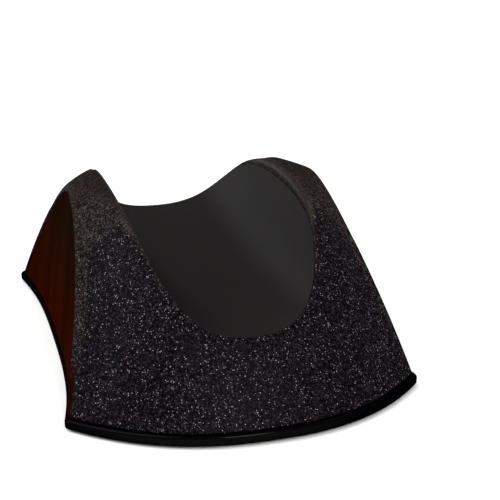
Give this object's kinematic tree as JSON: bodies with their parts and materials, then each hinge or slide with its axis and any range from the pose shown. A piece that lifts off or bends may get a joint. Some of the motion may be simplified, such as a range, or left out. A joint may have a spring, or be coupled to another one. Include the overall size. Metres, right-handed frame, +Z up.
{
  "type": "bicycle trainer front riser block",
  "caption": "Low plastic riser block with a curved tyre channel between two humps, set-in gloss side panels, a gloss base rim and rubber feet; it carries a bicycle's front wheel.",
  "frame": {"origin": "on the floor under the middle of the block, at the undersides of the feet", "axes": "+X along the tyre channel towards the front, +Y to the left, +Z up"},
  "size_m": [0.2164, 0.1356, 0.0705],
  "materials": {
    "grained_shell": "near-black moulded grain with small glints, fading to satin on the crests",
    "satin_cradle": "smooth satin dark grey",
    "gloss_trim": "polished black",
    "inner_plastic": "plain moulded black",
    "rubber_foot": "matte black rubber",
    "steel_screw": "zinc-plated steel"
  },
  "bodies": {
    "root": {"upper_shell": "grained_shell", "wheel_cradle": "satin_cradle", "side_panel_left": "gloss_trim", "side_panel_right": "gloss_trim", "base_rim": "gloss_trim", "base_plate": "inner_plastic", "support_frame": "inner_plastic", "foot_rear_right": "rubber_foot", "foot_rear_left": "rubber_foot", "foot_front_right": "rubber_foot", "foot_front_left": "rubber_foot", "shell_screw_1": "steel_screw", "shell_screw_2": "steel_screw", "shell_screw_3": "steel_screw", "shell_screw_4": "steel_screw", "shell_screw_5": "steel_screw", "shell_screw_6": "steel_screw", "cradle_screw_1": "steel_screw", "cradle_screw_2": "steel_screw", "cradle_screw_3": "steel_screw", "cradle_screw_4": "steel_screw", "panel_screw_right_1": "steel_screw", "panel_screw_right_2": "steel_screw", "panel_screw_left_1": "steel_screw", "panel_screw_left_2": "steel_screw"}
  },
  "joints": []
}
